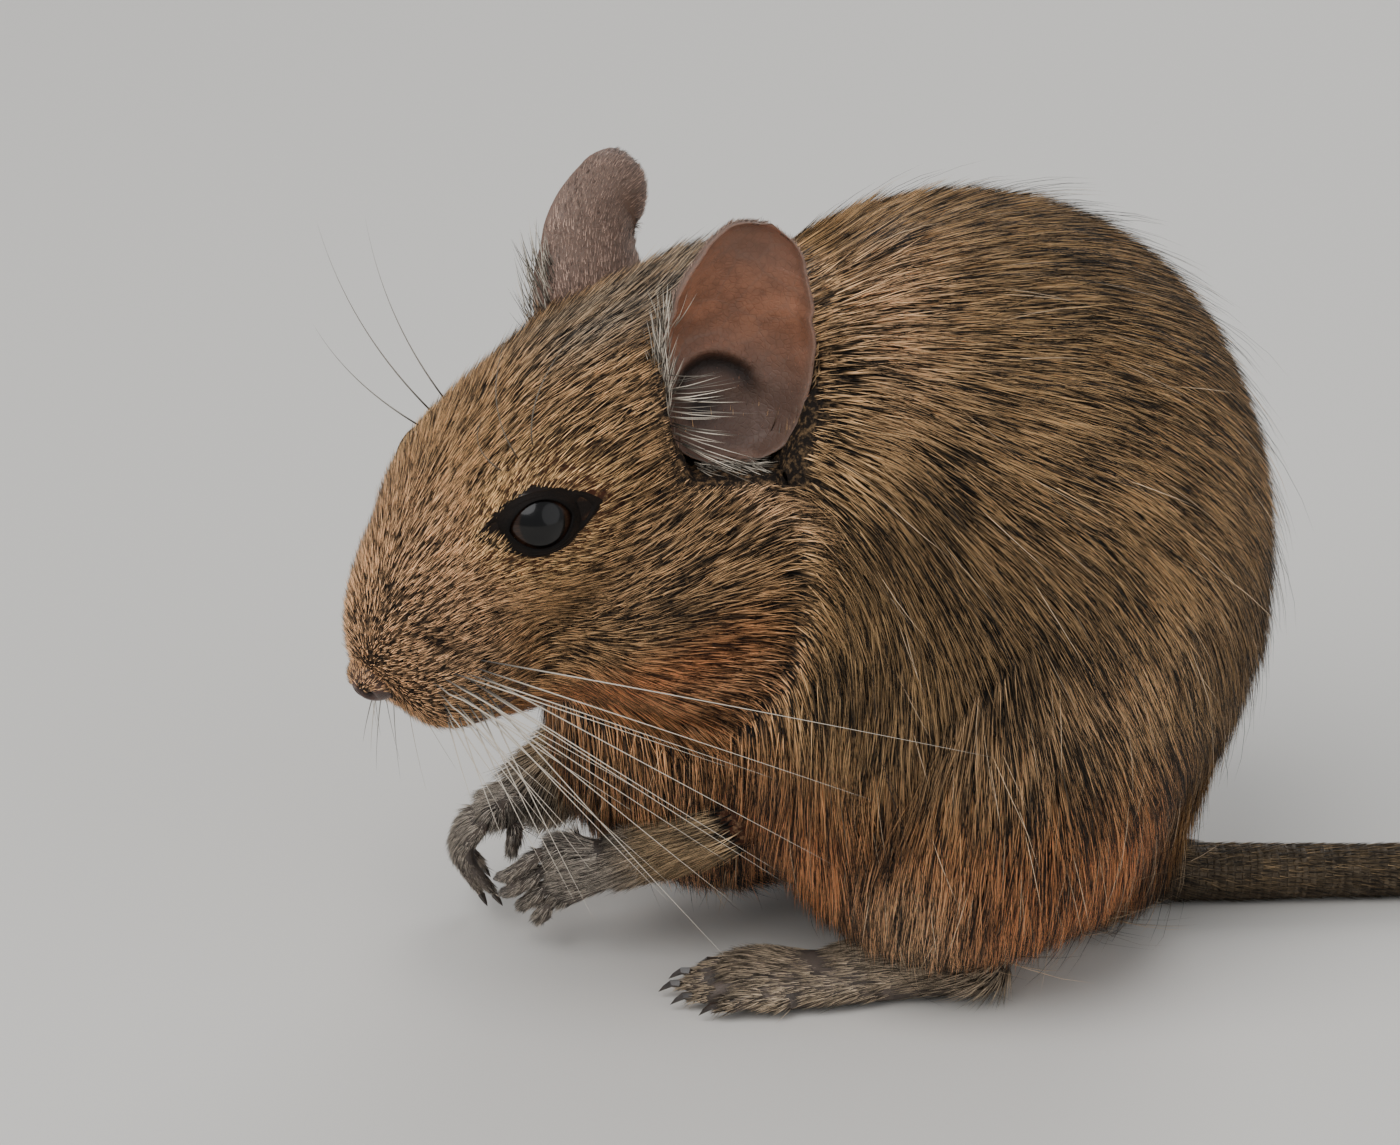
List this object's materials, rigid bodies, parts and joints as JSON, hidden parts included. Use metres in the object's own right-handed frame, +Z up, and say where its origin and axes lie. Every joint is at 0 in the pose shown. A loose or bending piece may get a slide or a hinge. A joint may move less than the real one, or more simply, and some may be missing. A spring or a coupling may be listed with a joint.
{
  "type": "degu",
  "caption": "Life-size still model of a degu, a small ground rodent, crouched on its hind feet with its forepaws held together under its chin and its brush-tipped tail laid out behind",
  "frame": {"origin": "centre of the bounding box in plan, at the level of the soles", "axes": "the animal faces -X, its left side is -Y, +Z is up"},
  "size_m": [0.197, 0.0826, 0.0904],
  "materials": {
    "coat": "short dense fur, olive brown ticked with black, rufous below",
    "paw": "thin grey hair over skin",
    "bare_skin": "satin bare skin",
    "eye": "wet gloss",
    "claw": "horn",
    "tail": "short dark hair with a black brush"
  },
  "bodies": {
    "root": {"ear_left": "bare_skin", "ear_right": "bare_skin", "eye_left": "eye", "eye_right": "eye", "fore_claw_left_1": "claw", "fore_claw_left_2": "claw", "fore_claw_left_3": "claw", "fore_claw_left_4": "claw", "fore_claw_right_1": "claw", "fore_claw_right_2": "claw", "fore_claw_right_3": "claw", "fore_claw_right_4": "claw", "foreleg_left": "coat", "foreleg_right": "coat", "hand_left": "paw", "hand_right": "paw", "head": "coat", "hind_claw_left_1": "claw", "hind_claw_left_2": "claw", "hind_claw_left_3": "claw", "hind_claw_left_4": "claw", "hind_claw_left_5": "claw", "hind_claw_right_1": "claw", "hind_claw_right_2": "claw", "hind_claw_right_3": "claw", "hind_claw_right_4": "claw", "hind_claw_right_5": "claw", "hind_foot_left": "paw", "hind_foot_right": "paw", "jaw": "coat", "neck": "coat", "nose": "bare_skin", "tail_base": "tail", "tail_brush": "tail", "tail_end": "tail", "tail_middle": "tail", "thigh_left": "coat", "thigh_right": "coat", "torso": "coat", "whisker_pad_left": "coat", "whisker_pad_right": "coat"}
  },
  "joints": []
}
